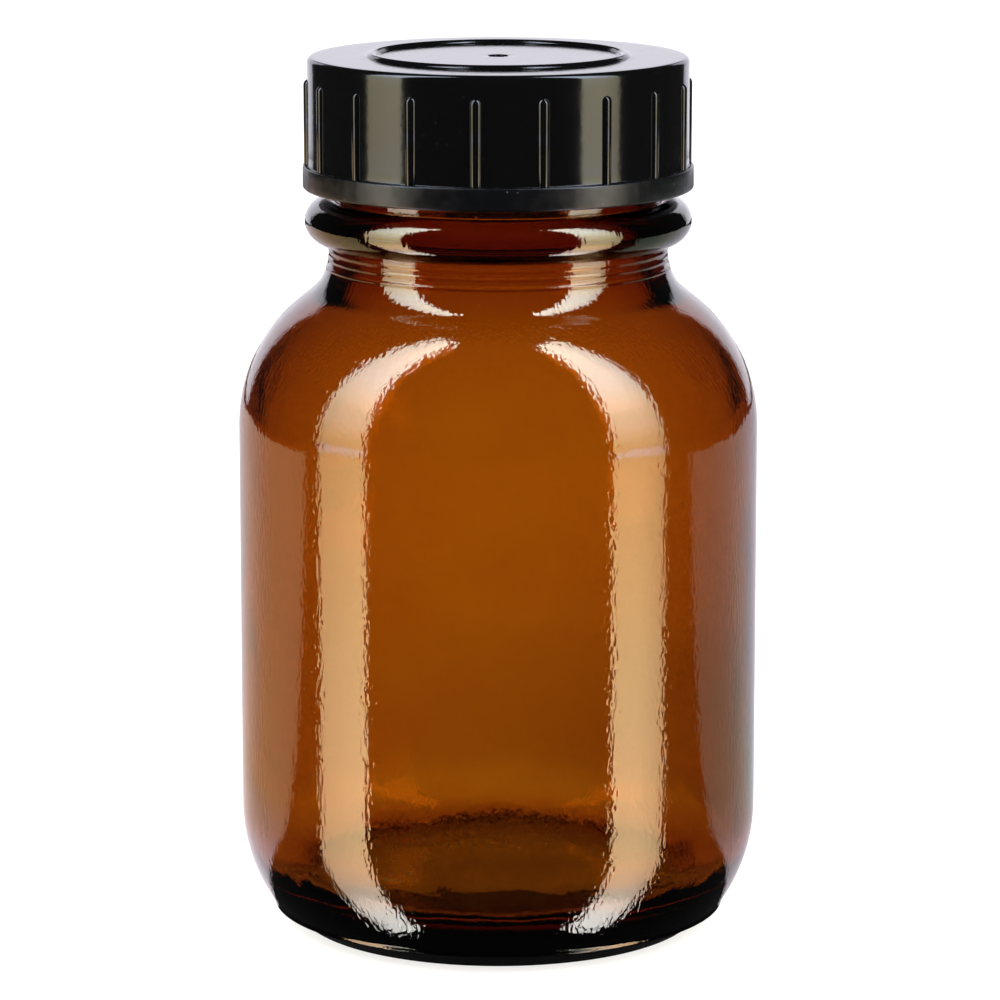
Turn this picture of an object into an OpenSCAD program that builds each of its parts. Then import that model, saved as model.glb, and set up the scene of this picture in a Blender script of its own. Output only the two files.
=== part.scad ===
// Amber wide-neck reagent bottle: a moulded glass bottle, a ribbed screw cap and its two-layer liner.
// Z is the bottle's axis. The glass bearing ring stands on Z = 0, and all sizes are millimetres.
// The two threads are right-handed, so the cap rises as it turns anticlockwise from above.

/* [Bottle] */
// Diameter of the straight wall
body_d = 60; // [58:0.5:63]
// Height at which the straight wall runs into the shoulder
wall_top = 58.6; // [45:0.1:80]
// Radius of the rounded shoulder
shoulder_r = 18.85; // [17.5:0.05:19.5]
// Diameter of the neck under the bead
neck_d = 39; // [38.6:0.1:39.6]
// Radius of the hollow between the shoulder and the neck
neck_hollow_r = 6.1; // [5.5:0.1:6.5]
// Thickness of the straight wall
wall_t = 2.2; // [1.9:0.1:2.5]
// Thickness of the floor in its middle
floor_t = 3.2; // [2.6:0.1:4]
// How far the underside is pushed up in its middle
push_up = 2; // [1:0.1:2.6]

/* [Neck finish] */
// Diameter over the thread, the nominal size of the neck
thread_d = 40; // [39.6:0.1:40.2]
// How far the cap rises in one turn
thread_pitch = 4; // [3.8:0.1:4.4]
// Turns of thread on the glass
glass_turns = 1.75; // [1.25:0.25:2]
// Diameter of the bore
bore_d = 32.6; // [30:0.1:33.4]
// Diameter over the bead under the cap
bead_d = 44.5; // [44:0.1:45]
// Height from the middle of the bead to the lip
finish_h = 15.75; // [15.4:0.05:17]

/* [Cap] */
// Diameter of the wall between the ribs
cap_d = 43.8; // [43.6:0.1:44.2]
// Diameter of the plain band at the rim
band_d = 44.9; // [44.7:0.1:45.6]
// Height of the plain band
band_h = 2.65; // [2:0.05:3.5]
// Height from the rim to the flat top
cap_h = 15.05; // [14.8:0.05:15.4]
// Thickness of the top plate
plate_t = 1.5; // [1.2:0.1:1.8]
// Number of grip ribs
rib_count = 18; // [9:1:36]
// Width of a rib
rib_w = 1.4; // [1:0.1:1.6]
// Angle of the first rib from the X axis
rib_start = 3.4; // [0:0.1:20]
// Turns of thread in the cap
cap_turns = 1.5; // [1:0.25:1.5]

/* [Liner] */
// Diameter of the liner
liner_d = 40.2; // [39.6:0.1:40.3]
// Thickness of the foam layer
foam_t = 1.2; // [1:0.05:1.3]
// Thickness of the facing film, on the side of the glass
facing_t = 0.25; // [0.2:0.05:0.3]

/* [Hidden] */
$fn = 180;

body_r = body_d / 2;
neck_r = neck_d / 2;
bore_r = bore_d / 2;
bead_r = bead_d / 2;
band_r = band_d / 2;
cap_r = cap_d / 2;

// Heel and underside: a large arc down to the edge of the base plate of the mould, then a cone
heel_r = 19.6;
heel_top = 14;
heel_edge_z = 2.3;
cone_angle = 34.5;
ring_edge_r = 1.5;
ring_w = 1.8;

// Angle of the heel arc at the edge of the base plate, and the radius there
heel_angle = asin((heel_top - heel_edge_z) / heel_r);
heel_edge_r = body_r - heel_r + heel_r * cos(heel_angle);
// Outer radius of the flat bearing ring: the cone run out to Z = 0, less the rounded edge
ring_out_r = heel_edge_r - heel_edge_z / tan(cone_angle) - ring_edge_r * tan(cone_angle / 2);
ring_in_r = ring_out_r - ring_w;
dome_r = (pow(ring_in_r, 2) + pow(push_up, 2)) / (2 * push_up);

// Outside of the shoulder: a round arc and a hollow arc that meet smoothly and end on the neck
neck_z = wall_top + shoulder_rise(body_r - shoulder_r, shoulder_r, neck_r, neck_hollow_r);
shoulder_angle = meet_angle(body_r - shoulder_r, shoulder_r, neck_r, neck_hollow_r);

// Inside of the shoulder, made the same way
in_wall_r = body_r - wall_t;
in_shoulder_r = 17.05;
in_shoulder_z = wall_top - 0.17;
in_hollow_r = 7;
in_neck_z = in_shoulder_z + shoulder_rise(in_wall_r - in_shoulder_r, in_shoulder_r, bore_r, in_hollow_r);
in_shoulder_angle = meet_angle(in_wall_r - in_shoulder_r, in_shoulder_r, bore_r, in_hollow_r);
in_heel_r = 6;
in_floor_z = push_up + floor_t;

// Bead and finish
bead_round_r = 2.55;
bead_z = neck_z + 3.65;
lip_z = bead_z + finish_h;
lip_round_r = 1;
thread_h = 1.3;
finish_r = thread_d / 2 - thread_h;
thread_top_z = lip_z - 2.6;
thread_low_z = thread_top_z - glass_turns * thread_pitch;

// Heights of the liner and the cap. A hair of air on both faces of the liner lets the cap turn on it.
liner_gap = 0.05;
facing_z = lip_z + liner_gap;
foam_z = facing_z + facing_t;
plate_z = foam_z + foam_t + liner_gap;
cap_top_z = plate_z + plate_t;
rim_z = cap_top_z - cap_h;
band_top_z = rim_z + band_h;
cap_in_r = thread_d / 2 + 0.45;
rim_flare = 0.4;
rim_edge_r = 0.3;
band_edge_r = 0.25;
cap_edge_r = 0.6;
rib_out = 0.4;
rib_top_gap = 2.5;
ring_mid_r = 14.45;
ring_half_w = 0.65;
ring_h = 0.43;
ring_foot_angle = asin(1 - ring_h / ring_half_w);
gate_r = 1.1;
gate_depth = 0.3;

// The cap's ridge runs half a pitch under the ridge on the glass
cap_thread_top_z = thread_top_z - thread_pitch / 2;
cap_thread_low_z = cap_thread_top_z - cap_turns * thread_pitch;
cap_thread_h = 1.35;

// Threads: width of a ridge at its foot and crest, how deep its foot is sunk, and its run-out
ridge_foot_w = 2.2;
ridge_crest_w = 1;
ridge_sunk = 0.4;
ridge_step = 7.5;
run_out = 30;

// Points of an arc about [x, z] from angle a to angle b
function arc(x, z, r, a, b, steps = 12) =
    [for (i = [0:steps]) let (t = a + (b - a) * i / steps) [x + r * cos(t), z + r * sin(t)]];

// Height from the middle of a round shoulder arc to the middle of the hollow arc above it
function shoulder_rise(mid_r, round_r, end_r, hollow_r) =
    sqrt(pow(round_r + hollow_r, 2) - pow(end_r + hollow_r - mid_r, 2));

// Angle round the bead at which it meets a wall of radius wall_r
function bead_foot_angle(wall_r) = acos((wall_r - (bead_r - bead_round_r)) / bead_round_r);

// Angle at which the two arcs meet
function meet_angle(mid_r, round_r, end_r, hollow_r) =
    acos((end_r + hollow_r - mid_r) / (round_r + hollow_r));

function outside_of_glass() = concat(
    arc(0, push_up - dome_r, dome_r, 90, 90 - asin(ring_in_r / dome_r), 16),
    arc(ring_out_r, ring_edge_r, ring_edge_r, -90, cone_angle - 90, 6),
    arc(body_r - heel_r, heel_top, heel_r, -heel_angle, 0, 16),
    arc(body_r - shoulder_r, wall_top, shoulder_r, 0, shoulder_angle, 24),
    arc(neck_r + neck_hollow_r, neck_z, neck_hollow_r, 180 + shoulder_angle, 180, 12),
    arc(bead_r - bead_round_r, bead_z, bead_round_r, -bead_foot_angle(neck_r), bead_foot_angle(finish_r), 18),
    arc(finish_r - lip_round_r, lip_z - lip_round_r, lip_round_r, 0, 90, 6)
);

function inside_of_glass() = concat(
    arc(bore_r + lip_round_r, lip_z - lip_round_r, lip_round_r, 90, 180, 6),
    arc(bore_r + in_hollow_r, in_neck_z, in_hollow_r, 180, 180 + in_shoulder_angle, 12),
    arc(in_wall_r - in_shoulder_r, in_shoulder_z, in_shoulder_r, in_shoulder_angle, 0, 20),
    arc(in_wall_r - in_heel_r, in_floor_z + in_heel_r, in_heel_r, 0, -90, 16),
    [[0, in_floor_z]]
);

// A helical ridge from low_z up, standing out from the wall at root_r by h: inwards if side is -1.
// angle is where the helix would pass through Z = 0, and both ends run out into the wall.
module thread_ridge(root_r, h, low_z, turns, angle, side) {
    steps = round(turns * 360 / ridge_step);
    foot_w = ridge_foot_w + (ridge_foot_w - ridge_crest_w) * ridge_sunk / h;
    points = [for (i = [0:steps])
        let (a = angle + 360 * low_z / thread_pitch + i * ridge_step)
        let (z = low_z + i * ridge_step / 360 * thread_pitch)
        let (full = min(1, i * ridge_step / run_out, (steps - i) * ridge_step / run_out))
        let (rise = full * (h + ridge_sunk / 2) - ridge_sunk / 2)
        let (foot = root_r - side * ridge_sunk, crest = root_r + side * rise)
        for (c = [[foot, -foot_w], [crest, -ridge_crest_w], [crest, ridge_crest_w], [foot, foot_w]])
            [c[0] * cos(a), c[0] * sin(a), z + c[1] / 2]];
    sides = [for (i = [0:steps - 1]) for (k = [0:3])
        let (n = 4 * i, m = (k + 1) % 4)
        [n + k, n + 4 + k, n + 4 + m, n + m]];
    faces = concat([[0, 1, 2, 3]], sides, [[4 * steps + 3, 4 * steps + 2, 4 * steps + 1, 4 * steps]]);
    polyhedron(points, side < 0 ? faces : [for (f = faces) [for (k = [3:-1:0]) f[k]]]);
}

module glass_bottle() {
    color([0.45, 0.2, 0.03, 0.6])
    union() {
        rotate_extrude() polygon(concat(outside_of_glass(), inside_of_glass()));
        thread_ridge(finish_r, thread_h, thread_low_z, glass_turns, 0, 1);
    }
}

// A grip rib: a round bar half sunk in the wall, with a ball for its top end
module rib() {
    bar_r = rib_w / 2;
    top_z = cap_top_z - rib_top_gap - bar_r;
    translate([cap_r + rib_out - bar_r, 0, 0]) {
        translate([0, 0, band_top_z - bar_r]) cylinder(h = top_z - band_top_z + bar_r, r = bar_r, $fn = 48);
        translate([0, 0, top_z]) sphere(r = bar_r, $fn = 48);
    }
}

function outside_of_cap() = concat(
    [[cap_in_r + rim_flare, rim_z]],
    arc(band_r - rim_edge_r, rim_z + rim_edge_r, rim_edge_r, -90, 0, 4),
    arc(band_r - band_edge_r, band_top_z - band_edge_r, band_edge_r, 0, 90, 4),
    arc(cap_r - cap_edge_r, cap_top_z - cap_edge_r, cap_edge_r, 0, 90, 8),
    arc(ring_mid_r, cap_top_z + ring_h - ring_half_w, ring_half_w,
        ring_foot_angle, 180 - ring_foot_angle, 10),
    [[0, cap_top_z]]
);

function inside_of_cap() = [
    [0, plate_z],
    [cap_in_r, plate_z],
    [cap_in_r, rim_z + 2 * rim_flare]
];

module screw_cap() {
    color([0.06, 0.06, 0.065])
    difference() {
        union() {
            rotate_extrude() polygon(concat(outside_of_cap(), inside_of_cap()));
            for (i = [0:rib_count - 1]) rotate([0, 0, rib_start + i * 360 / rib_count]) rib();
            thread_ridge(cap_in_r, cap_thread_h, cap_thread_low_z, cap_turns, -180, -1);
        }
        // Mark that the moulding gate leaves in the middle of the top
        translate([0, 0, cap_top_z]) gate_mark();
    }
}

// A shallow ball-shaped dimple of radius gate_r
module gate_mark() {
    ball_r = (pow(gate_r, 2) + pow(gate_depth, 2)) / (2 * gate_depth);
    translate([0, 0, ball_r - gate_depth]) sphere(r = ball_r, $fn = 96);
}

module liner_foam() {
    color([0.93, 0.93, 0.9])
    translate([0, 0, foam_z]) cylinder(h = foam_t, d = liner_d);
}

module liner_facing() {
    color([0.97, 0.97, 0.97])
    translate([0, 0, facing_z]) cylinder(h = facing_t, d = liner_d);
}

glass_bottle();
screw_cap();
liner_foam();
liner_facing();
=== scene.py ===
import math

import bpy
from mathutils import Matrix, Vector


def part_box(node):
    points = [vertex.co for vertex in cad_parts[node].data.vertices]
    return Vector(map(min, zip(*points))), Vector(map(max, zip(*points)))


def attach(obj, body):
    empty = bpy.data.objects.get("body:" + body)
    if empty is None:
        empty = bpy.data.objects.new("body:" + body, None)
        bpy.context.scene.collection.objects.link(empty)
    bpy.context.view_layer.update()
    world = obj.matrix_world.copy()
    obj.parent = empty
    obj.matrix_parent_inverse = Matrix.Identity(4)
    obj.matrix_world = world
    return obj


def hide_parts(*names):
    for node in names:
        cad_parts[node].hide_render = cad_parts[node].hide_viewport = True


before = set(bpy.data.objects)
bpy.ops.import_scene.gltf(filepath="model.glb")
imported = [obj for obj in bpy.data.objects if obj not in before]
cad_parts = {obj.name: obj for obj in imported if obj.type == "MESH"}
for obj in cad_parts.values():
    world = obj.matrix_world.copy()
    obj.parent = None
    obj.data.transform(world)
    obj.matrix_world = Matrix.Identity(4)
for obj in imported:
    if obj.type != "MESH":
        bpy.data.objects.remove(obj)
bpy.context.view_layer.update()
print("frame loaded:", sorted(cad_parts))

mm = 0.001


# small helpers used by every piece
def deselectAll():
    bpy.ops.object.select_all(action="DESELECT")


def hexColour(text):
    # sRGB hex to linear RGBA
    channels = [int(text[i:i + 2], 16) / 255 for i in (1, 3, 5)]
    return [c / 12.92 if c <= 0.04045 else ((c + 0.055) / 1.055) ** 2.4 for c in channels] + [1]


def arc(r, z, radius, fromAngle, toAngle, steps):
    # points of a round stretch of an outline, as (distance from the axis, height)
    out = []
    for i in range(steps + 1):
        t = math.radians(fromAngle + (toAngle - fromAngle) * i / steps)
        out.append((r + radius * math.cos(t), z + radius * math.sin(t)))
    return out


def straight(start, end, steps):
    # points along a straight stretch, without its two ends
    return [(start[0] + (end[0] - start[0]) * i / steps, start[1] + (end[1] - start[1]) * i / steps)
            for i in range(1, steps)]


def pickVertices(piece, wanted):
    # goes into edit mode with only the vertices that a rule on their place picks
    bpy.context.view_layer.objects.active = piece
    bpy.ops.object.mode_set(mode="EDIT")
    bpy.ops.mesh.select_mode(type="VERT")
    bpy.ops.mesh.select_all(action="DESELECT")
    bpy.ops.object.mode_set(mode="OBJECT")
    for v in piece.data.vertices:
        v.select = wanted(v.co)
    bpy.ops.object.mode_set(mode="EDIT")


def turnOutline(name, outline, segments):
    # grows a round shell ring by ring along an outline given in mm, closed at both ends
    deselectAll()
    r, z = outline[0]
    bpy.ops.mesh.primitive_circle_add(vertices=segments, radius=r * mm, fill_type="NGON",
                                      location=(0, 0, z * mm))
    piece = bpy.context.object
    piece.name = piece.data.name = name
    bpy.ops.object.mode_set(mode="EDIT")
    bpy.ops.mesh.select_mode(type="EDGE")
    bpy.ops.mesh.select_all(action="SELECT")
    bpy.ops.mesh.delete(type="ONLY_FACE")
    bpy.ops.mesh.select_all(action="SELECT")
    for nextR, nextZ in outline[1:]:
        bpy.ops.mesh.extrude_region_move(TRANSFORM_OT_translate={"value": (0, 0, (nextZ - z) * mm)})
        k = nextR / r
        bpy.ops.transform.resize(value=(k, k, 1), center_override=(0, 0, nextZ * mm))
        r, z = nextR, nextZ
    bpy.ops.mesh.select_all(action="DESELECT")
    bpy.ops.mesh.select_non_manifold()
    bpy.ops.mesh.fill_holes(sides=0)
    bpy.ops.mesh.select_all(action="SELECT")
    bpy.ops.mesh.normals_make_consistent(inside=False)
    bpy.ops.object.mode_set(mode="OBJECT")
    bpy.ops.object.transform_apply(location=True, rotation=True, scale=True)
    return piece


def smoothStep(x, low, high):
    t = min(1, max(0, (x - low) / (high - low)))
    return t * t * (3 - 2 * t)


def ridge(distance, flat, foot):
    # 1 on the crest of a rounded ridge, 0 past its foot
    return 1 - smoothStep(abs(distance), flat, foot)


def crease(outline, place, height, width):
    # a fine moulding line: outline points are added near a place, then pushed out from the surface
    reach = width + 1.2
    finer = [outline[0]]
    for start, end in zip(outline, outline[1:]):
        if min(math.dist(start, place), math.dist(end, place)) < reach:
            finer += straight(start, end, max(1, math.ceil(math.dist(start, end) / (width / 5))))
        finer.append(end)
    raised = []
    for i, (r, z) in enumerate(finer):
        lift = height * ridge(math.dist((r, z), place), width * 0.1, width / 2)
        before, after = finer[max(0, i - 1)], finer[min(len(finer) - 1, i + 1)]
        along = math.dist(before, after)
        raised.append((r + lift * (after[1] - before[1]) / along,
                       z - lift * (after[0] - before[0]) / along))
    return raised


def thin(outline):
    # drops points that fall on the one before
    kept = [outline[0]]
    for point in outline[1:]:
        if math.dist(point, kept[-1]) > 0.008:
            kept.append(point)
    return kept


def weighVertices(piece, groupName, weightAt):
    # a vertex group whose weights follow a rule on the distance from the axis in mm, the angle in
    # degrees and the height in mm
    group = piece.vertex_groups.new(name=groupName)
    for v in piece.data.vertices:
        r = math.hypot(v.co.x, v.co.y) / mm
        weight = weightAt(r, math.degrees(math.atan2(v.co.y, v.co.x)), v.co.z / mm)
        if weight > 0.001:
            group.add([v.index], weight, "REPLACE")


def pushGroup(piece, groupName, height, texture=None, midLevel=0.0):
    # pushes a vertex group out along the surface by a height in mm, and forgets the group
    bpy.context.view_layer.objects.active = piece
    push = piece.modifiers.new(groupName, "DISPLACE")
    push.vertex_group = groupName
    push.strength = height * mm
    push.mid_level = midLevel
    if texture:
        push.texture = texture
        push.texture_coords = "LOCAL"
    bpy.ops.object.modifier_apply(modifier=push.name)
    piece.vertex_groups.remove(piece.vertex_groups[groupName])


def clouds(name, grain):
    texture = bpy.data.textures.new(name, "CLOUDS")
    texture.noise_scale = grain * mm
    texture.noise_depth = 2
    return texture


def threadHeight(angle, z, thread):
    # height of a screw thread at a place on its wall, from 0 to 1
    best = 0
    around = ((angle - thread["startAngle"]) % 360) / 360
    near = round((z - thread["low"]) / thread["pitch"] - around)
    for along in (near - 1 + around, near + around, near + 1 + around):
        if 0 <= along <= thread["turns"]:
            runOut = min(along, thread["turns"] - along) * 360 / thread["runOut"]
            middle = thread["low"] + along * thread["pitch"]
            best = max(best, smoothStep(runOut, 0, 1) * ridge(z - middle, thread["flat"], thread["foot"]))
    return best


def newMaterial(name):
    material = bpy.data.materials.new(name)
    material.use_nodes = True
    material.node_tree.nodes.clear()
    return material, material.node_tree


def addNode(tree, kind, settings=None, links=None):
    # one node with its settings and fixed inputs, and its links from other nodes; an input goes
    # by its name, or by its number where several have one name
    node = tree.nodes.new(kind)
    for key, value in (settings or {}).items():
        if isinstance(key, int) or key in node.inputs:
            node.inputs[key].default_value = value
        else:
            setattr(node, key, value)
    for key, source in (links or {}).items():
        tree.links.new(source, node.inputs[key])
    return node


def stops(node, *pairs):
    # colour stops of a ramp, as (place from 0 to 1, grey level or hex)
    ramp = node.color_ramp
    while len(ramp.elements) > 1:
        ramp.elements.remove(ramp.elements[0])
    for i, (place, colour) in enumerate(pairs):
        stop = ramp.elements[0] if i == 0 else ramp.elements.new(place)
        stop.position = place
        stop.color = hexColour(colour) if isinstance(colour, str) else (colour, colour, colour, 1)
    return node.outputs["Color"]


# the bottle, in mm; its size comes from the solid it stands for
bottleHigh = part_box("glass_bottle")[1]
bottle = {
    "wall": bottleHigh.x / mm, "lip": bottleHigh.z / mm, "columns": 240,
    # the outside: base and heel, shoulder and neck, bead and finish
    "pushUp": 2.0, "ringWidth": 1.8, "ringRadius": 1.5, "baseEdge": 2.3, "baseSlope": 34.5,
    "heelRadius": 19.6, "heelTop": 14.0,
    "wallTop": 58.6, "shoulder": 18.85, "hollow": 6.1, "neck": 19.5,
    "bead": 22.25, "beadRadius": 2.55, "beadDrop": 15.75,
    "finish": 18.7, "lipRadius": 1.0, "threadFoot": 86,
    # the inside
    "wallThickness": 2.2, "floor": 3.2, "floorDome": 0.8, "inHeel": 6.0,
    "inShoulder": 17.05, "inShoulderDrop": 0.17, "inHollow": 7.0, "bore": 16.3,
    # fine parting lines round the neck and the base, each at a distance from the axis and a height
    "neckLines": [((19.68, 77.3), 0.1), ((19.52, 78.35), 0.07), ((19.5, 79.3), 0.05)],
    "neckLineWidth": 0.55, "baseLine": (26.12, 2.3), "baseLineHeight": 0.25, "baseLineWidth": 0.7,
    # upright seams: half width in degrees, nearest to the axis, and where they fade in and out
    "seamHeight": 0.05, "seamWidth": (0.1, 1.3), "seamInner": 20.5, "seamFoot": (3, 4), "seamHead": (76, 77),
    # uneven inner wall and heel: where the waves fade in from the axis, and out going up
    "waveGrain": 9, "waveHeight": 0.22, "waveFromAxis": (3, 9), "waveHead": (66, 74),
    "heelWaveGrain": 3.5, "heelWaveHeight": 0.25, "heelWaveFromAxis": (14, 20), "heelWaveHead": (11, 17),
}
bottleThread = {"turns": 1.75, "pitch": 4.0, "low": 88.74, "startAngle": 88.74 * 90 % 360, "height": 1.28,
                "flat": 0.35, "foot": 1.15, "runOut": 35}

# amber soda-lime glass, blown in a mould: clear right through, near black where it is thick,
# and a skin that is never quite even, so straight reflections get ragged edges
amber = {
    "ior": 1.52, "tint": "#e8cc17", "tintPerMetre": 1700,
    # grain and depth in mm; the real skin is finer, and is drawn coarse enough to show
    "skinGrain": 0.45, "skinTall": 2.0, "skinDepth": 0.028, "wallSkin": 0.75, "heelSkin": 1.5,
    "heelSkinHead": (5, 13), "waveGrain": 6.0, "waveDepth": 0.02,
}


def meetAngle(middle, roundR, end, hollowR):
    # where a round shoulder and the hollow above it meet
    return math.degrees(math.acos((end + hollowR - middle) / (roundR + hollowR)))


def bottleOutline():
    b = bottle
    heelAngle = math.degrees(math.asin((b["heelTop"] - b["baseEdge"]) / b["heelRadius"]))
    edgeR = b["wall"] - b["heelRadius"] + b["heelRadius"] * math.cos(math.radians(heelAngle))
    ringOut = (edgeR - b["baseEdge"] / math.tan(math.radians(b["baseSlope"]))
               - b["ringRadius"] * math.tan(math.radians(b["baseSlope"] / 2)))
    ringIn = ringOut - b["ringWidth"]
    domeR = (ringIn ** 2 + b["pushUp"] ** 2) / (2 * b["pushUp"])
    meet = meetAngle(b["wall"] - b["shoulder"], b["shoulder"], b["neck"], b["hollow"])
    neckZ = b["wallTop"] + (b["shoulder"] + b["hollow"]) * math.sin(math.radians(meet))
    inWall = b["wall"] - b["wallThickness"]
    inMeet = meetAngle(inWall - b["inShoulder"], b["inShoulder"], b["bore"], b["inHollow"])
    inTop = b["wallTop"] - b["inShoulderDrop"]
    inNeckZ = inTop + (b["inShoulder"] + b["inHollow"]) * math.sin(math.radians(inMeet))
    inFloor = b["pushUp"] + b["floor"]
    beadZ = b["lip"] - b["beadDrop"]
    beadR = b["bead"] - b["beadRadius"]
    beadLow = math.degrees(math.acos((b["neck"] - beadR) / b["beadRadius"]))
    beadHigh = math.degrees(math.acos((b["finish"] - beadR) / b["beadRadius"]))
    finishLow = beadZ + b["beadRadius"] * math.sin(math.radians(beadHigh))
    lipLow = b["lip"] - b["lipRadius"]
    floorR = inWall - b["inHeel"]
    floorRings = [21.2, 20.4, 19.2, 18.4, 17.6, 16.8, *range(16, 1, -1), 1.2, 0.5]
    outside = (
        arc(0, b["pushUp"] - domeR, domeR, 89.8, 90 - math.degrees(math.asin(ringIn / domeR)), 10)
        + straight((ringIn, 0), (ringOut, 0), 4)
        + arc(ringOut, b["ringRadius"], b["ringRadius"], -90, b["baseSlope"] - 90, 5)
        + arc(b["wall"] - b["heelRadius"], b["heelTop"], b["heelRadius"], -heelAngle, 0, 18)
        + straight((b["wall"], b["heelTop"]), (b["wall"], b["wallTop"]), 16)
        + arc(b["wall"] - b["shoulder"], b["wallTop"], b["shoulder"], 0, meet, 26)
        + arc(b["neck"] + b["hollow"], neckZ, b["hollow"], 180 + meet, 180, 14)
        + arc(beadR, beadZ, b["beadRadius"], -beadLow, beadHigh, 22)
        + straight((b["finish"], finishLow), (b["finish"], lipLow), 64)
        + arc(b["finish"] - b["lipRadius"], lipLow, b["lipRadius"], 0, 90, 8)
    )
    inside = (
        arc(b["bore"] + b["lipRadius"], lipLow, b["lipRadius"], 90, 180, 8)
        + straight((b["bore"], lipLow), (b["bore"], inNeckZ), 10)
        + arc(b["bore"] + b["inHollow"], inNeckZ, b["inHollow"], 180, 180 + inMeet, 12)
        + arc(inWall - b["inShoulder"], inTop, b["inShoulder"], inMeet, 0, 20)
        + straight((inWall, inTop), (inWall, inFloor + b["inHeel"]), 28)
        + arc(floorR, inFloor + b["inHeel"], b["inHeel"], 0, -90, 20)
        + [(r, inFloor + b["floorDome"] * smoothStep(floorR - r, 0, floorR)) for r in floorRings]
    )
    outside = crease(thin(outside), b["baseLine"], b["baseLineHeight"], b["baseLineWidth"])
    for place, height in b["neckLines"]:
        outside = crease(outside, place, height, b["neckLineWidth"])
    return thin(outside + inside)


def mouldedAmberGlass():
    material, tree = newMaterial("moulded_amber_glass")
    place = addNode(tree, "ShaderNodeTexCoord").outputs["Object"]
    # how coarse the skin is at each place, kept on the bottle's own mesh
    skinCoarse = addNode(tree, "ShaderNodeAttribute", {"attribute_name": "skinCoarse"}).outputs["Fac"]
    depth = addNode(tree, "ShaderNodeMapRange",
                    {"To Min": 0.0, "To Max": amber["skinDepth"] * mm, "clamp": False},
                    {"Value": skinCoarse}).outputs["Result"]
    # a noise of scale 1 / grain has one lump to a grain
    tall = addNode(tree, "ShaderNodeMapping", {"Scale": (1, 1, 1 / amber["skinTall"])}, {"Vector": place})
    skin = addNode(tree, "ShaderNodeTexNoise", {"Scale": 1 / (amber["skinGrain"] * mm), "Detail": 1.0},
                   {"Vector": tall.outputs["Vector"]}).outputs["Fac"]
    wave = addNode(tree, "ShaderNodeTexNoise", {"Scale": 1 / (amber["waveGrain"] * mm), "Detail": 1.0},
                   {"Vector": place}).outputs["Fac"]
    waveBump = addNode(tree, "ShaderNodeBump", {"Distance": amber["waveDepth"] * mm}, {"Height": wave})
    skinBump = addNode(tree, "ShaderNodeBump", None,
                       {"Height": skin, "Distance": depth, "Normal": waveBump.outputs["Normal"]})
    glass = addNode(tree, "ShaderNodeBsdfPrincipled",
                    {"Base Color": (1, 1, 1, 1), "Roughness": 0.0, "IOR": amber["ior"],
                     "Transmission Weight": 1.0},
                    {"Normal": skinBump.outputs["Normal"]})
    tint = addNode(tree, "ShaderNodeVolumeAbsorption",
                   {"Color": hexColour(amber["tint"]), "Density": amber["tintPerMetre"]})
    addNode(tree, "ShaderNodeOutputMaterial", None,
            {"Surface": glass.outputs["BSDF"], "Volume": tint.outputs["Volume"]})
    return material


def outer(r, z):
    # whether a place on the bottle's shell is on its outside, within a third of the glass
    b = bottle
    near = 0.7
    if z < b["pushUp"] + b["floor"] - near:
        return True
    if z < b["heelTop"]:
        outside = b["wall"] - b["heelRadius"] + math.sqrt(b["heelRadius"] ** 2 - (b["heelTop"] - z) ** 2)
        return r > outside - near
    if z < b["wallTop"]:
        return r > b["wall"] - near
    return math.hypot(r - b["wall"] + b["shoulder"], z - b["wallTop"]) > b["shoulder"] - near


def markSkin(piece):
    # the inside and the finish are fire-smooth, the outside fine and the heel coarse
    skin = piece.data.attributes.new("skinCoarse", "FLOAT", "POINT")
    for v in piece.data.vertices:
        z = v.co.z / mm
        if outer(math.hypot(v.co.x, v.co.y) / mm, z) and z < bottle["threadFoot"]:
            heel = 1 - smoothStep(z, *amber["heelSkinHead"])
            skin.data[v.index].value = amber["wallSkin"] + (amber["heelSkin"] - amber["wallSkin"]) * heel


def makeBottle():
    b = bottle
    piece = turnOutline("amber_bottle", bottleOutline(), b["columns"])
    weighVertices(piece, "screwThread", lambda r, angle, z: threadHeight(angle, z, bottleThread)
                  if abs(r - b["finish"]) < 0.01 and z > b["threadFoot"] else 0)
    pushGroup(piece, "screwThread", bottleThread["height"])
    # two upright lines where the halves of the mould met
    weighVertices(piece, "mouldSeams", lambda r, angle, z:
                  ridge(min(abs(angle), 180 - abs(angle)), *b["seamWidth"])
                  * smoothStep(z, *b["seamFoot"]) * (1 - smoothStep(z, *b["seamHead"]))
                  if r > b["seamInner"] and outer(r, z) else 0)
    pushGroup(piece, "mouldSeams", b["seamHeight"])
    # the inner surface met no mould, so it is uneven, and more so at the heel
    weighVertices(piece, "insideWall", lambda r, angle, z:
                  smoothStep(r, *b["waveFromAxis"]) * (1 - smoothStep(z, *b["waveHead"]))
                  if not outer(r, z) else 0)
    pushGroup(piece, "insideWall", b["waveHeight"], clouds("uneven_inside", b["waveGrain"]), 0.5)
    weighVertices(piece, "insideHeel", lambda r, angle, z:
                  smoothStep(r, *b["heelWaveFromAxis"]) * (1 - smoothStep(z, *b["heelWaveHead"]))
                  if not outer(r, z) else 0)
    pushGroup(piece, "insideHeel", b["heelWaveHeight"], clouds("uneven_heel", b["heelWaveGrain"]), 0.5)
    markSkin(piece)
    piece.data.materials.append(mouldedAmberGlass())
    bpy.ops.object.shade_smooth()
    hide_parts("glass_bottle")
    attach(piece, "bottle")
    print("bottle done:", len(piece.data.polygons), "faces")


makeBottle()


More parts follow.
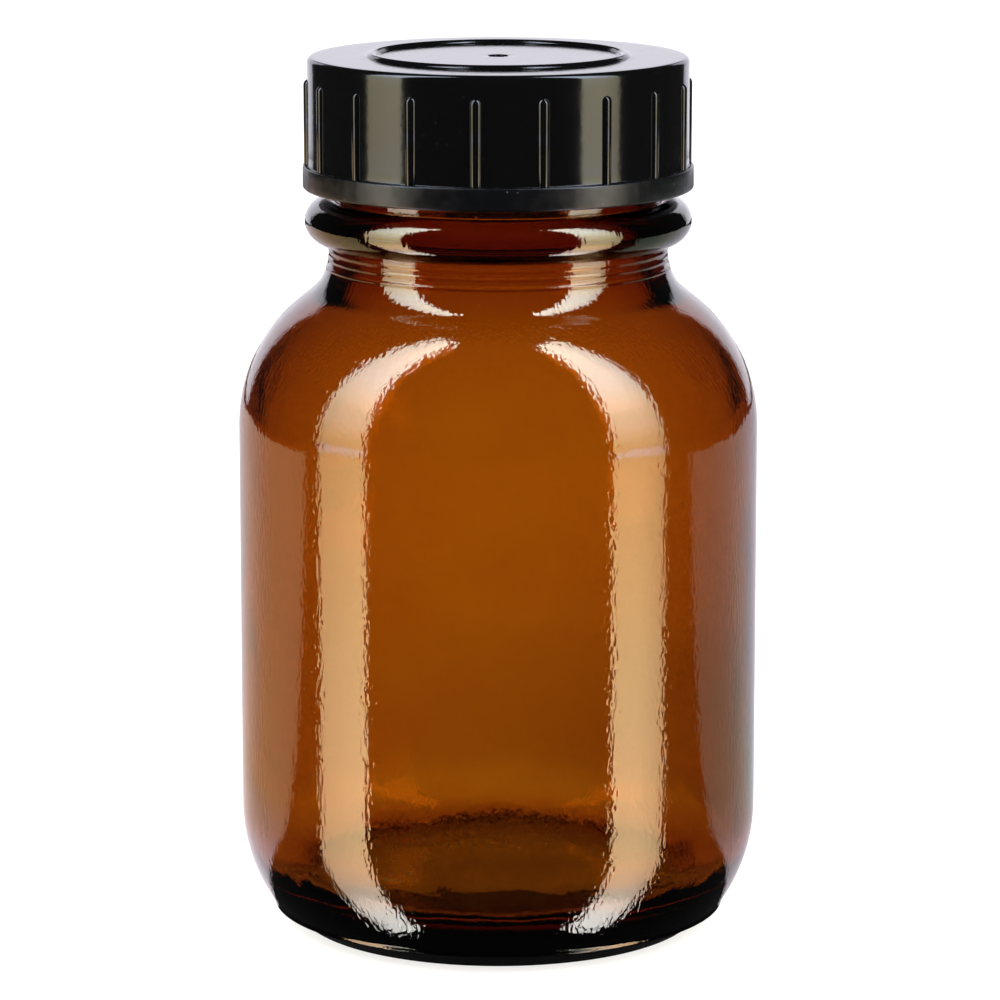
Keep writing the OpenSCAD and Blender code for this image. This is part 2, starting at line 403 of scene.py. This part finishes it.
# the screw cap, in mm
capLow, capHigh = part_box("screw_cap")
cap = {
    "band": capHigh.x / mm, "rim": capLow.z / mm, "columns": 240,
    "wall": 21.9, "top": 101.39, "topEdge": 0.6,
    "bandTop": 88.99, "bandEdge": 0.25, "ledgeHollow": 0.12, "rimEdge": 0.3,
    "ringMiddle": 14.45, "ringWidth": 0.65, "ringHeight": 0.43, "ringMargin": 0.2,
    "gate": 1.1, "gateDepth": 0.3, "gateEdge": 0.15,
    "bore": 20.45, "flare": 0.4, "flareHeight": 0.8, "mouthEdge": 0.15, "plate": 99.89, "plateHollow": 0.5,
    "ribs": 18, "firstRib": 3.4, "ribRadius": 0.7, "ribMiddle": 21.6, "ribTop": 98.89, "ribSink": 0.3,
    "threadTop": 96,
}
capThread = {"turns": 1.5, "pitch": 4.0, "low": 87.74, "startAngle": (87.74 * 90 - 180) % 360,
             "height": 1.33, "flat": 0.35, "foot": 1.15, "runOut": 35}

# black polypropylene, injection moulded: a deep gloss with a faint orange-peel skin,
# and a satin band below, where the mould was left dull and the rim gets handled
blackPlastic = {
    "colour": "#050506", "ior": 1.49, "specular": 0.44, "specularTint": "#ccd4ff",
    "gloss": 0.1, "bandGloss": 0.28, "satinFrom": 89.2, "satinFull": 88.9,
    "peelGrain": 0.8, "peelDepth": 0.006, "scuffGrain": 1.4, "scuffDull": 0.12, "scuffDepth": 0.01,
    "wallWear": 0.15, "speckSpacing": 1.4, "dust": "#3a3a3c",
}


def capOutline():
    c = cap
    top, plate, bore, band, rim = c["top"], c["plate"], c["bore"], c["band"], c["rim"]
    topEdge, bandEdge, rimEdge = c["topEdge"], c["bandEdge"], c["rimEdge"]
    ledge, mouth, hollow = c["ledgeHollow"], c["mouthEdge"], c["plateHollow"]
    gateR = c["gate"] + c["gateEdge"]
    ringDrop = (c["ringWidth"] ** 2 - c["ringHeight"] ** 2) / (2 * c["ringHeight"])
    ringR = c["ringHeight"] + ringDrop
    half = math.degrees(math.asin(c["ringWidth"] / ringR)) * 0.97
    ringIn = c["ringMiddle"] - c["ringWidth"] - c["ringMargin"]
    ringOut = c["ringMiddle"] + c["ringWidth"] + c["ringMargin"]
    return thin(
        [(0.02, top - c["gateDepth"]), (0.5, top - c["gateDepth"] * 0.93), (0.8, top - c["gateDepth"] * 0.7)]
        + arc(gateR, top - c["gateEdge"], c["gateEdge"], 160, 90, 4)
        + straight((gateR, top), (ringIn, top), 12) + [(ringIn, top)]
        + arc(c["ringMiddle"], top - ringDrop, ringR, 90 + half, 90 - half, 14) + [(ringOut, top)]
        + straight((ringOut, top), (c["wall"] - topEdge, top), 6)
        + arc(c["wall"] - topEdge, top - topEdge, topEdge, 90, 0, 9)
        + straight((c["wall"], top - topEdge), (c["wall"], c["bandTop"] + ledge), 12)
        + arc(c["wall"] + ledge, c["bandTop"] + ledge, ledge, 180, 270, 4)
        + arc(band - bandEdge, c["bandTop"] - bandEdge, bandEdge, 90, 0, 5)
        + straight((band, c["bandTop"] - bandEdge), (band, rim + rimEdge), 3)
        + arc(band - rimEdge, rim + rimEdge, rimEdge, 0, -90, 6)
        + arc(bore + c["flare"] + mouth, rim + mouth, mouth, -90, -170, 4)
        + straight((bore + c["flare"], rim + mouth), (bore, rim + c["flareHeight"]), 3)
        + straight((bore, rim + c["flareHeight"]), (bore, plate - hollow), 60)
        + arc(bore - hollow, plate - hollow, hollow, 0, 90, 5)
        + straight((bore - hollow, plate), (0.5, plate), 10) + [(0.5, plate)]
    )


def mouldedBlackPolypropylene():
    p = blackPlastic
    material, tree = newMaterial("moulded_black_polypropylene")
    place = addNode(tree, "ShaderNodeTexCoord").outputs["Object"]
    height = addNode(tree, "ShaderNodeSeparateXYZ", None, {"Vector": place}).outputs["Z"]
    onBand = addNode(tree, "ShaderNodeMapRange",
                     {"From Min": p["satinFrom"] * mm, "From Max": p["satinFull"] * mm},
                     {"Value": height}).outputs["Result"]
    # scuffs are uneven patches of wear, drawn in soft clouds
    scuff = addNode(tree, "ShaderNodeTexNoise", {"Scale": 1 / (p["scuffGrain"] * mm), "Detail": 5.0},
                    {"Vector": place}).outputs["Fac"]
    scuffPatch = stops(addNode(tree, "ShaderNodeValToRGB", None, {"Fac": scuff}), (0.42, 0.0), (0.7, 1.0))
    # dust specks and fine pits, sparse points of a cell pattern
    cells = addNode(tree, "ShaderNodeTexVoronoi", {"Scale": 1 / (p["speckSpacing"] * mm)}, {"Vector": place})
    specks = stops(addNode(tree, "ShaderNodeValToRGB", None, {"Fac": cells.outputs["Distance"]}),
                   (0.04, 1.0), (0.09, 0.0))
    bandWear = addNode(tree, "ShaderNodeMix", {"data_type": "FLOAT", "A": p["wallWear"], "B": 1.0},
                       {"Factor": onBand}).outputs["Result"]
    wear = addNode(tree, "ShaderNodeMath", {"operation": "MULTIPLY"},
                   {0: bandWear, 1: scuffPatch}).outputs["Value"]
    speckWear = addNode(tree, "ShaderNodeMath", {"operation": "MULTIPLY"},
                        {0: bandWear, 1: specks}).outputs["Value"]
    shine = addNode(tree, "ShaderNodeMapRange", {"To Min": p["gloss"], "To Max": p["bandGloss"]},
                    {"Value": onBand}).outputs["Result"]
    roughness = addNode(tree, "ShaderNodeMath", {"operation": "MULTIPLY_ADD", 1: p["scuffDull"]},
                        {0: wear, 2: shine}).outputs["Value"]
    paint = addNode(tree, "ShaderNodeMix",
                    {"data_type": "RGBA", 6: hexColour(p["colour"]), 7: hexColour(p["dust"])},
                    {"Factor": speckWear}).outputs[2]
    peel = addNode(tree, "ShaderNodeTexNoise", {"Scale": 1 / (p["peelGrain"] * mm), "Detail": 2.0},
                   {"Vector": place}).outputs["Fac"]
    peelBump = addNode(tree, "ShaderNodeBump", {"Distance": p["peelDepth"] * mm}, {"Height": peel})
    scuffBump = addNode(tree, "ShaderNodeBump", {"Distance": p["scuffDepth"] * mm, "Strength": 0.6},
                        {"Height": wear, "Normal": peelBump.outputs["Normal"]})
    plastic = addNode(tree, "ShaderNodeBsdfPrincipled",
                      {"IOR": p["ior"], "Specular IOR Level": p["specular"],
                       "Specular Tint": hexColour(p["specularTint"])},
                      {"Base Color": paint, "Roughness": roughness, "Normal": scuffBump.outputs["Normal"]})
    addNode(tree, "ShaderNodeOutputMaterial", None, {"Surface": plastic.outputs["BSDF"]})
    return material


def makeRibs():
    # one grip rib: a round bar with a ball end, sunk to its middle in the wall, then its copies
    c = cap
    deselectAll()
    ballZ = c["ribTop"] - c["ribRadius"]
    bpy.ops.mesh.primitive_uv_sphere_add(segments=20, ring_count=12, radius=c["ribRadius"] * mm,
                                         location=(c["ribMiddle"] * mm, 0, ballZ * mm))
    rib = bpy.context.object
    pickVertices(rib, lambda place: place.z < -0.01 * mm)
    bpy.ops.transform.translate(value=(0, 0, (c["bandTop"] - c["ribSink"] - ballZ) * mm))
    bpy.ops.object.mode_set(mode="OBJECT")
    bpy.ops.object.transform_apply(location=True, rotation=True, scale=True)
    deselectAll()
    ribs = []
    for i in range(c["ribs"]):
        copy = rib.copy()
        copy.data = rib.data.copy()
        bpy.context.scene.collection.objects.link(copy)
        copy.rotation_euler.z = math.radians(c["firstRib"] + i * 360 / c["ribs"])
        copy.select_set(True)
        ribs.append(copy)
    bpy.data.objects.remove(rib)
    bpy.context.view_layer.objects.active = ribs[0]
    bpy.ops.object.join()
    bpy.ops.object.transform_apply(location=True, rotation=True, scale=True)
    piece = bpy.context.object
    piece.name = piece.data.name = "cap_grip_ribs"
    return piece


def makeCap():
    c = cap
    plastic = mouldedBlackPolypropylene()
    shell = turnOutline("cap_shell", capOutline(), c["columns"])
    weighVertices(shell, "capThread", lambda r, angle, z: threadHeight(angle, z, capThread)
                  if abs(r - c["bore"]) < 0.01 and z < c["threadTop"] else 0)
    pushGroup(shell, "capThread", capThread["height"])
    shell.data.materials.append(plastic)
    bpy.ops.object.shade_smooth()
    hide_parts("screw_cap")
    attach(shell, "cap")
    ribs = makeRibs()
    ribs.data.materials.append(plastic)
    bpy.ops.object.shade_smooth()
    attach(ribs, "cap")
    print("cap done:", len(shell.data.polygons) + len(ribs.data.polygons), "faces")


makeCap()


# the liner: a foam disc with a thin film on the side that meets the glass, in mm
foamLow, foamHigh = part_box("liner_foam")
filmLow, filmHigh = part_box("liner_facing")
liner = {
    "radius": foamHigh.x / mm, "columns": 120, "foamEdge": 0.25, "filmEdge": 0.06, "gap": 0.01,
    "dentInner": 15.4, "dentOuter": 18.9, "dentSlope": 0.4, "filmDent": 0.05, "foamDent": 0.02,
    "foam": "#e4e2da", "paintedCellShade": "#cfccc2", "cell": 0.35, "cellDepth": 0.05,
    "film": "#f0f1ee", "filmShade": "#e6e7e3", "streak": 0.4, "streakDepth": 0.004, "streakLong": 0.08,
    "roundUpTo": 35,
}


def discOutline(radius, low, high, edge, dent):
    # a round disc with a shallow ring pressed into its underside by the lip
    low, high = low / mm, high / mm
    outer, inner, slope = liner["dentOuter"], liner["dentInner"], liner["dentSlope"]
    under = [(radius - edge, low), (outer + slope, low), (outer, low + dent),
             (inner, low + dent), (inner - slope, low)]
    return thin(
        [(0.3, high)] + straight((0.3, high), (radius - edge, high), 12)
        + arc(radius - edge, high - edge, edge, 90, 0, 5) + arc(radius - edge, low + edge, edge, 0, -90, 5)
        + under + straight(under[-1], (0.3, low), 10) + [(0.3, low)]
    )


def closedCellFoam():
    # polyethylene foam, skived sheet: matt and milky, with tiny closed cells open at the surface, and painted
    # shade in their hollows
    material, tree = newMaterial("closed_cell_polyethylene_foam")
    place = addNode(tree, "ShaderNodeTexCoord").outputs["Object"]
    cells = addNode(tree, "ShaderNodeTexVoronoi", {"Scale": 1 / (liner["cell"] * mm)}, {"Vector": place})
    # painted shade: darker at the middle of each cell, where the bump dents the surface
    shade = stops(addNode(tree, "ShaderNodeValToRGB", None, {"Fac": cells.outputs["Distance"]}),
                  (0.0, liner["paintedCellShade"]), (0.45, liner["foam"]))
    dents = addNode(tree, "ShaderNodeBump", {"Distance": liner["cellDepth"] * mm, "Strength": 0.8},
                    {"Height": cells.outputs["Distance"]})
    foam = addNode(tree, "ShaderNodeBsdfPrincipled",
                   {"Roughness": 0.75, "IOR": 1.5, "Subsurface Weight": 0.2},
                   {"Base Color": shade, "Normal": dents.outputs["Normal"]})
    foam.inputs["Subsurface Radius"].default_value = (0.0008, 0.0007, 0.0006)
    addNode(tree, "ShaderNodeOutputMaterial", None, {"Surface": foam.outputs["BSDF"]})
    return material


def sealingFilm():
    # fluoropolymer film, calendered on to the foam: smooth satin white with faint rolling streaks
    material, tree = newMaterial("calendered_sealing_film")
    place = addNode(tree, "ShaderNodeTexCoord").outputs["Object"]
    along = addNode(tree, "ShaderNodeMapping", {"Scale": (liner["streakLong"], 1, 1)}, {"Vector": place})
    streaks = addNode(tree, "ShaderNodeTexNoise", {"Scale": 1 / (liner["streak"] * mm), "Detail": 3.0},
                      {"Vector": along.outputs["Vector"]}).outputs["Fac"]
    shade = stops(addNode(tree, "ShaderNodeValToRGB", None, {"Fac": streaks}),
                  (0.3, liner["filmShade"]), (0.7, liner["film"]))
    shine = addNode(tree, "ShaderNodeMapRange", {"To Min": 0.28, "To Max": 0.42},
                    {"Value": streaks}).outputs["Result"]
    lines = addNode(tree, "ShaderNodeBump", {"Distance": liner["streakDepth"] * mm}, {"Height": streaks})
    film = addNode(tree, "ShaderNodeBsdfPrincipled", {"IOR": 1.38},
                   {"Base Color": shade, "Roughness": shine, "Normal": lines.outputs["Normal"]})
    addNode(tree, "ShaderNodeOutputMaterial", None, {"Surface": film.outputs["BSDF"]})
    return material


def makeLiner():
    gap = liner["gap"] * mm
    foamSide = discOutline(liner["radius"], foamLow.z + gap, foamHigh.z, liner["foamEdge"], liner["foamDent"])
    foam = turnOutline("liner_disc", foamSide, liner["columns"])
    foam.data.materials.append(closedCellFoam())
    bpy.ops.object.shade_smooth_by_angle(angle=math.radians(liner["roundUpTo"]))
    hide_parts("liner_foam")
    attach(foam, "liner")
    filmSide = discOutline(filmHigh.x / mm, filmLow.z, filmHigh.z - gap, liner["filmEdge"], liner["filmDent"])
    film = turnOutline("liner_film", filmSide, liner["columns"])
    film.data.materials.append(sealingFilm())
    bpy.ops.object.shade_smooth_by_angle(angle=math.radians(liner["roundUpTo"]))
    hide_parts("liner_facing")
    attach(film, "liner")
    print("liner done")


makeLiner()


# the camera, in metres and degrees, at a long lens's distance
view = {"distance": 0.5706, "height": 0.1608, "side": 0.0002, "pitch": 11.024, "lens": 180}

bpy.ops.object.camera_add(location=(view["side"], -view["distance"], view["height"]),
                          rotation=(math.radians(90 - view["pitch"]), 0, 0))
camera = bpy.context.object
camera.data.lens = view["lens"]
camera.data.sensor_width = 36
camera.data.clip_start = 0.01
bpy.context.scene.camera = camera


# the studio, in metres and degrees: a glowing white table top with the shine that the glass mirrors,
# two tall strip lights at the sides and a white sweep behind
studio = {
    "tableWidth": 1.5, "tableDepth": 3.0, "tableLift": -0.00005, "tableColour": "#a8a8a8", "tableGlow": 0.75,
    # the clear sheet under the bottle, tinted with a painted shadow and a painted pool of dim amber light
    "shadeSize": 0.8, "shadeBack": 0.1, "shadeLift": 0.00002, "shadeCentre": (0.065, 0.095, 0),
    "shadeReach": 0.3, "poolRadius": 0.028, "poolSoft": 0.006, "poolBack": 0.006, "poolColour": "#4a1202",
    # the strips; their fade is over an angle from the front
    "stripDistance": 0.30, "stripLow": -0.52, "stripHigh": 1.1,
    "leftStrip": (-82.4, -57.3), "leftFade": (57, 83), "leftPower": 20.0,
    "rightStrip": (48.9, 74.7), "rightFade": (49, 75), "rightPower": 20.0,
    # the shine, with a colour of its own from nearFrom to nearTo from the axis
    "shineWide": 0.42, "shineFront": 0.002, "shineBack": 0.52, "shineLift": 0.00003,
    "leftShine": 1.4, "rightShine": 1.0, "nearShine": "#f4e8f0", "nearFrom": 0.045, "nearTo": 0.09,
    # the sweep stands higher at its two sides, outside of the gap
    "sweep": 0.76, "sweepAngles": (147.5, 212.5), "sweepGap": (166, 194), "sweepLow": -0.004,
    "sweepHigh": 0.28, "sweepTop": 0.42, "sweepColour": "#f7f5ff", "sweepPower": 1.36,
    "roomWhite": 1.35, "roomDark": 0.02,
}


def glow(name, strength, plain="#ffffff", byHeight=None, byAngle=None, near=None):
    # a light of one colour, or of colours that change with height and with the angle from the
    # front, and another colour close to the object
    material, tree = newMaterial(name)
    place = addNode(tree, "ShaderNodeTexCoord").outputs["Object"]
    axes = addNode(tree, "ShaderNodeSeparateXYZ", None, {"Vector": place})
    colour = addNode(tree, "ShaderNodeRGB").outputs["Color"]
    colour.default_value = hexColour(plain)
    if byHeight:
        low, high, pairs = byHeight
        along = addNode(tree, "ShaderNodeMapRange", {"From Min": low, "From Max": high},
                        {"Value": axes.outputs["Z"]})
        colour = stops(addNode(tree, "ShaderNodeValToRGB", None, {"Fac": along.outputs["Result"]}), *pairs)
    if byAngle:
        low, high, pairs = byAngle
        front = addNode(tree, "ShaderNodeMath", {"operation": "MULTIPLY", 1: -1}, {0: axes.outputs["Y"]})
        side = addNode(tree, "ShaderNodeMath", {"operation": "ABSOLUTE"}, {0: axes.outputs["X"]})
        turn = addNode(tree, "ShaderNodeMath", {"operation": "ARCTAN2"},
                       {0: side.outputs["Value"], 1: front.outputs["Value"]})
        along = addNode(tree, "ShaderNodeMapRange",
                        {"From Min": math.radians(low), "From Max": math.radians(high)},
                        {"Value": turn.outputs["Value"]})
        ramp = stops(addNode(tree, "ShaderNodeValToRGB", None, {"Fac": along.outputs["Result"]}), *pairs)
        both = addNode(tree, "ShaderNodeMix",
                       {"data_type": "RGBA", "blend_type": "MULTIPLY", "Factor": 1.0}, {6: colour, 7: ramp})
        colour = both.outputs[2]
    if near:
        away = addNode(tree, "ShaderNodeVectorMath", {"operation": "LENGTH"}, {0: place})
        far = addNode(tree, "ShaderNodeMapRange",
                      {"From Min": studio["nearFrom"], "From Max": studio["nearTo"]},
                      {"Value": away.outputs["Value"]})
        change = addNode(tree, "ShaderNodeMix", {"data_type": "RGBA", 6: hexColour(near)},
                         {"Factor": far.outputs["Result"], 7: colour})
        colour = change.outputs[2]
    lamp = addNode(tree, "ShaderNodeEmission", {"Strength": strength}, {"Color": colour})
    addNode(tree, "ShaderNodeOutputMaterial", None, {"Surface": lamp.outputs["Emission"]})
    return material


def bentPanel(name, distance, angles, low, high, material):
    # an upright panel bent round the object; angles in degrees from the front, towards the right
    deselectAll()
    bpy.ops.mesh.primitive_circle_add(vertices=720, radius=distance, location=(0, 0, low))
    panel = bpy.context.object
    panel.name = name
    bpy.ops.object.transform_apply(location=True, rotation=True, scale=True)
    pickVertices(panel, lambda place:
                 (math.degrees(math.atan2(place.x, -place.y)) - angles[0]) % 360 > angles[1] - angles[0])
    bpy.ops.mesh.delete(type="VERT")
    bpy.ops.mesh.select_all(action="SELECT")
    bpy.ops.mesh.extrude_region_move(TRANSFORM_OT_translate={"value": (0, 0, high - low)})
    bpy.ops.object.mode_set(mode="OBJECT")
    panel.data.materials.append(material)
    panel.visible_camera = False
    panel.visible_shadow = False


def makeTable():
    s = studio
    deselectAll()
    bpy.ops.mesh.primitive_plane_add(size=1, location=(0, 0, s["tableLift"]))
    table = bpy.context.object
    table.scale = (s["tableWidth"], s["tableDepth"], 1)
    bpy.ops.object.transform_apply(location=False, rotation=False, scale=True)
    table.name = "table"
    material, tree = newMaterial("white_acrylic_table")
    top = addNode(tree, "ShaderNodeBsdfPrincipled",
                  {"Base Color": hexColour(s["tableColour"]), "Roughness": 0.9, "Specular IOR Level": 0.1,
                   "Emission Color": (1, 1, 1, 1), "Emission Strength": s["tableGlow"]})
    addNode(tree, "ShaderNodeOutputMaterial", None, {"Surface": top.outputs["BSDF"]})
    table.data.materials.append(material)
    table.visible_glossy = False


def makeShade():
    # a painted shadow that the bottle throws back to the right, and a painted pool of dim amber light under
    # its base, as a clear sheet on the table that only the light coming through the glass meets
    s = studio
    deselectAll()
    bpy.ops.mesh.primitive_plane_add(size=s["shadeSize"], location=(0, s["shadeBack"], s["shadeLift"]))
    sheet = bpy.context.object
    bpy.ops.object.transform_apply(location=True, rotation=False, scale=False)
    sheet.name = "shade_sheet"
    material, tree = newMaterial("painted_shadow_sheet")
    place = addNode(tree, "ShaderNodeTexCoord").outputs["Object"]
    # painted pool of dim amber light under the base, round a point just behind the middle
    fromPool = addNode(tree, "ShaderNodeVectorMath", {"operation": "DISTANCE", 1: (0, s["poolBack"], 0)},
                       {0: place})
    edge = addNode(tree, "ShaderNodeMapRange",
                   {"From Min": s["poolRadius"] - s["poolSoft"], "From Max": s["poolRadius"],
                    "interpolation_type": "SMOOTHSTEP"},
                   {"Value": fromPool.outputs["Value"]})
    pool = stops(addNode(tree, "ShaderNodeValToRGB", None, {"Fac": edge.outputs["Result"]}),
                 (0.0, s["poolColour"]), (1.0, "#ffffff"))
    # painted shadow thrown back to the right, darkest at its centre and fading outwards
    fromShade = addNode(tree, "ShaderNodeVectorMath", {"operation": "DISTANCE", 1: s["shadeCentre"]},
                        {0: place})
    away = addNode(tree, "ShaderNodeMapRange", {"From Min": 0.0, "From Max": s["shadeReach"]},
                   {"Value": fromShade.outputs["Value"]})
    shade = stops(addNode(tree, "ShaderNodeValToRGB", None, {"Fac": away.outputs["Result"]}),
                  (0.0, 0.46), (0.1, 0.5), (0.2, 0.6), (0.33, 0.76), (0.5, 0.88), (1.0, 0.94))
    both = addNode(tree, "ShaderNodeMix",
                   {"data_type": "RGBA", "blend_type": "MULTIPLY", "Factor": 1.0}, {6: pool, 7: shade})
    clear = addNode(tree, "ShaderNodeBsdfTransparent", None, {"Color": both.outputs[2]})
    addNode(tree, "ShaderNodeOutputMaterial", None, {"Surface": clear.outputs["BSDF"]})
    sheet.data.materials.append(material)
    sheet.visible_camera = False
    sheet.visible_glossy = False
    sheet.visible_diffuse = False
    sheet.visible_shadow = False


def makeStrips():
    s = studio
    # the strips' colour by height: warm white high up, dim and yellow level with the bottle,
    # and amber to cream below the table
    tints = (-0.5, 0.6, [
        (0.000, "#d3d3d0"), (0.145, "#dad6ce"), (0.212, "#e1cfc0"), (0.262, "#b7a997"),
        (0.317, "#c3a789"), (0.365, "#d3ac82"), (0.404, "#cdae80"), (0.427, "#bda97a"),
        (0.458, "#b09b69"), (0.480, "#a29465"), (0.487, "#a9a698"), (0.496, "#a9a698"),
        (0.505, "#a39567"), (0.527, "#aca073"), (0.568, "#bbb495"), (0.600, "#bfbb99"),
        (0.641, "#d4d2b6"), (0.727, "#dbe3d5"), (1.000, "#edf0dd")])
    leftFade = (*s["leftFade"], [(0.0, 1.0), (1.0, 0.6)])
    rightFade = (*s["rightFade"], [(0.0, 1.0), (0.5, 0.95), (1.0, 0.6)])
    bentPanel("strip_left", s["stripDistance"], s["leftStrip"], s["stripLow"], s["stripHigh"],
              glow("left_strip_glow", s["leftPower"], byHeight=tints, byAngle=leftFade))
    bentPanel("strip_right", s["stripDistance"], s["rightStrip"], s["stripLow"], s["stripHigh"],
              glow("right_strip_glow", s["rightPower"], byHeight=tints, byAngle=rightFade))


def makeShine():
    # the lit table as the glass mirrors it: it starts level with the bottle, and is warmer on the
    # left; its colours run with the angle, from the side to the back
    s = studio
    left = [(0.14, "#fedda2"), (0.25, "#f6cf91"), (0.36, "#eec69c"), (0.46, "#eecdb1"),
            (0.56, "#f0d0bc"), (0.64, "#e9d1c9"), (0.72, "#dccecf"), (1.0, "#cbbfc6")]
    right = [(0.18, "#bccbb2"), (0.3, "#cbd2c2"), (0.42, "#e2e2d6"), (0.5, "#e0e3e1"),
             (0.6, "#e6e6f2"), (0.7, "#ebe3f0"), (1.0, "#ffffff")]
    sides = [("table_shine_left", -1, s["leftShine"], left), ("table_shine_right", 1, s["rightShine"], right)]
    for name, side, strength, pairs in sides:
        middle = (side * s["shineWide"] / 2, (s["shineFront"] + s["shineBack"]) / 2, s["shineLift"])
        deselectAll()
        bpy.ops.mesh.primitive_plane_add(size=1, location=middle)
        shine = bpy.context.object
        shine.scale = (s["shineWide"], s["shineBack"] - s["shineFront"], 1)
        bpy.ops.object.transform_apply(location=True, rotation=False, scale=True)
        shine.name = name
        shine.data.materials.append(
            glow(name + "_glow", strength, byAngle=(90, 180, pairs), near=s["nearShine"]))
        shine.visible_camera = False
        shine.visible_diffuse = False
        shine.visible_transmission = False
        shine.visible_shadow = False


def makeSweep():
    # it stands higher at its two sides, where the shoulder mirrors it
    s = studio
    white = glow("sweep_glow", s["sweepPower"], s["sweepColour"])
    rightSide = (s["sweepAngles"][0], s["sweepGap"][0])
    leftSide = (s["sweepGap"][1], s["sweepAngles"][1])
    bentPanel("sweep", s["sweep"], s["sweepAngles"], s["sweepLow"], s["sweepHigh"], white)
    bentPanel("sweep_right", s["sweep"], rightSide, s["sweepHigh"], s["sweepTop"], white)
    bentPanel("sweep_left", s["sweep"], leftSide, s["sweepHigh"], s["sweepTop"], white)


def makeRoom():
    # what the gloss and the glass see beyond the lights is a dark room; the table is lit by white
    world = bpy.data.worlds.new("studio_white")
    bpy.context.scene.world = world
    world.use_nodes = True
    tree = world.node_tree
    tree.nodes.clear()
    ray = addNode(tree, "ShaderNodeLightPath")
    white = addNode(tree, "ShaderNodeBackground", {"Color": (1, 1, 1, 1), "Strength": studio["roomWhite"]})
    dark = addNode(tree, "ShaderNodeBackground", {"Color": (1, 1, 1, 1), "Strength": studio["roomDark"]})
    mix = addNode(tree, "ShaderNodeMixShader", None,
                  {"Fac": ray.outputs["Is Glossy Ray"], 1: white.outputs["Background"],
                   2: dark.outputs["Background"]})
    addNode(tree, "ShaderNodeOutputWorld", None, {"Surface": mix.outputs["Shader"]})
    bpy.context.scene.view_settings.view_transform = "Standard"


makeTable()
makeShade()
makeStrips()
makeShine()
makeSweep()
makeRoom()
print("studio done")
